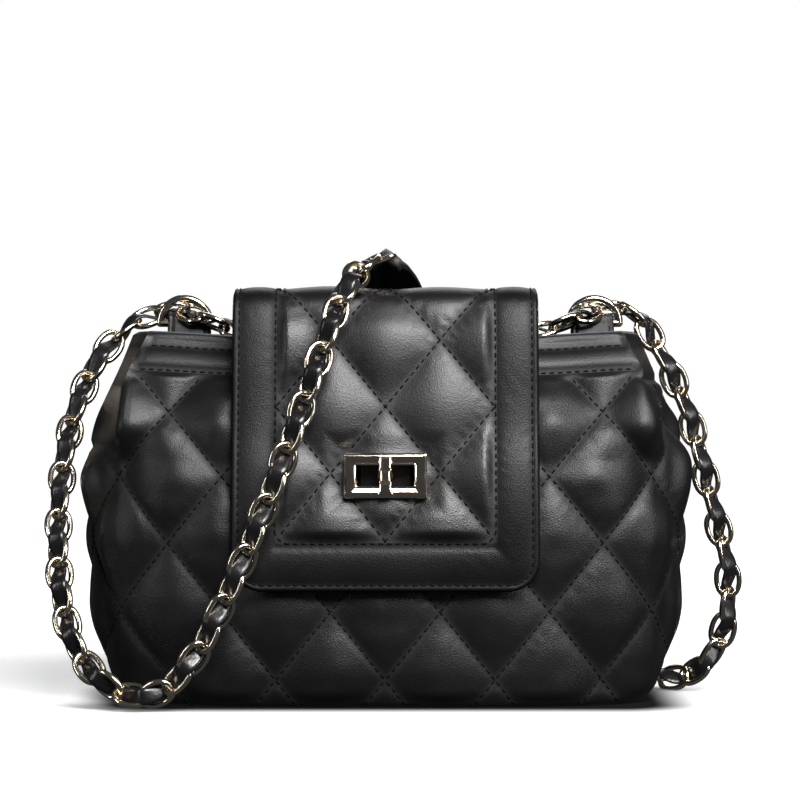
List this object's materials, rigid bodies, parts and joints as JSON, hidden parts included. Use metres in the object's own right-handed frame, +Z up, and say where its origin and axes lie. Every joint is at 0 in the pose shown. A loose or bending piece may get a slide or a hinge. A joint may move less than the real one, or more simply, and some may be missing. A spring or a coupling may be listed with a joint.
{
  "type": "crossbody purse",
  "caption": "Quilted leather crossbody purse with a front flap, a turn lock, two D-rings and a sliding chain strap with a shoulder pad.",
  "frame": {"origin": "centre of the base, on the surface the purse stands on", "axes": "+X to the right seen from the front, +Y to the back, +Z up"},
  "size_m": [0.2887, 0.1455, 0.1888],
  "materials": {
    "body_leather": "soft black lambskin with a satin sheen, quilted",
    "smooth_leather": "smooth black lambskin with edge stitching",
    "strap_leather": "glossy black strap leather",
    "flap_lining_leather": "thin matt black lining leather",
    "lining_fabric": "black twill lining",
    "padding_foam": "soft open-cell padding",
    "base_board": "thin stiffening board",
    "pale_gold": "polished pale champagne gold plate",
    "chain_alloy": "light alloy chain, plated pale gold, with a leather ribbon woven through"
  },
  "bodies": {
    "bag": {"base_panel": "body_leather", "base_board": "base_board", "lining": "lining_fabric", "slip_pocket": "lining_fabric", "front_panel": "body_leather", "front_band": "smooth_leather", "front_padding": "padding_foam", "back_panel": "body_leather", "back_band": "smooth_leather", "back_padding": "padding_foam", "left_gusset": "body_leather", "left_wing": "smooth_leather", "right_gusset": "body_leather", "right_wing": "smooth_leather", "flap_seam_strip": "smooth_leather", "lock_base_plate": "pale_gold", "lock_post": "pale_gold", "left_ring_tab": "smooth_leather", "right_ring_tab": "smooth_leather", "strap_side_chain": "chain_alloy", "strap_inner_chain": "chain_alloy", "pad_rear": "strap_leather"},
    "flap": {"flap_quilted_field": "body_leather", "flap_border": "smooth_leather", "flap_lining": "flap_lining_leather", "lock_frame": "pale_gold", "lock_back_plate": "pale_gold", "lock_screws": "pale_gold", "strap_front_chain": "chain_alloy", "pad_front": "strap_leather"},
    "turn_bar": {"turn_bar": "pale_gold", "turn_spindle": "pale_gold"},
    "left_ring": {"left_ring": "pale_gold"},
    "right_ring": {"right_ring": "pale_gold"},
    "pad_front_loop": {"pad_front_loop": "pale_gold"},
    "pad_rear_loop": {"pad_rear_loop": "pale_gold"}
  },
  "joints": [
    {"name": "flap_hinge", "type": "hinge", "parent": "bag", "child": "flap", "pos_m": [0, 0.024, 0.152], "axis": [-1, 0, 0], "range_deg": [0, 105]},
    {"name": "turn_bar_turn", "type": "hinge", "parent": "flap", "child": "turn_bar", "pos_m": [0, -0.058, 0.0943], "axis": [0, -1, 0], "range_deg": [0, 90]},
    {"name": "left_ring_swing", "type": "hinge", "parent": "bag", "child": "left_ring", "pos_m": [-0.0855, 0.0152, 0.1574], "axis": [1, 0, 0], "range_deg": [-30, 30]},
    {"name": "right_ring_swing", "type": "hinge", "parent": "bag", "child": "right_ring", "pos_m": [0.0885, 0.0152, 0.1574], "axis": [1, 0, 0], "range_deg": [-30, 30]},
    {"name": "pad_front_loop_swing", "type": "hinge", "parent": "flap", "child": "pad_front_loop", "pos_m": [0, -0.0175, 0.18625], "axis": [1, 0, 0], "range_deg": [-20, 20]},
    {"name": "pad_rear_loop_swing", "type": "hinge", "parent": "bag", "child": "pad_rear_loop", "pos_m": [0, 0.05475, 0.0465], "axis": [1, 0, 0], "range_deg": [-20, 20]}
  ]
}
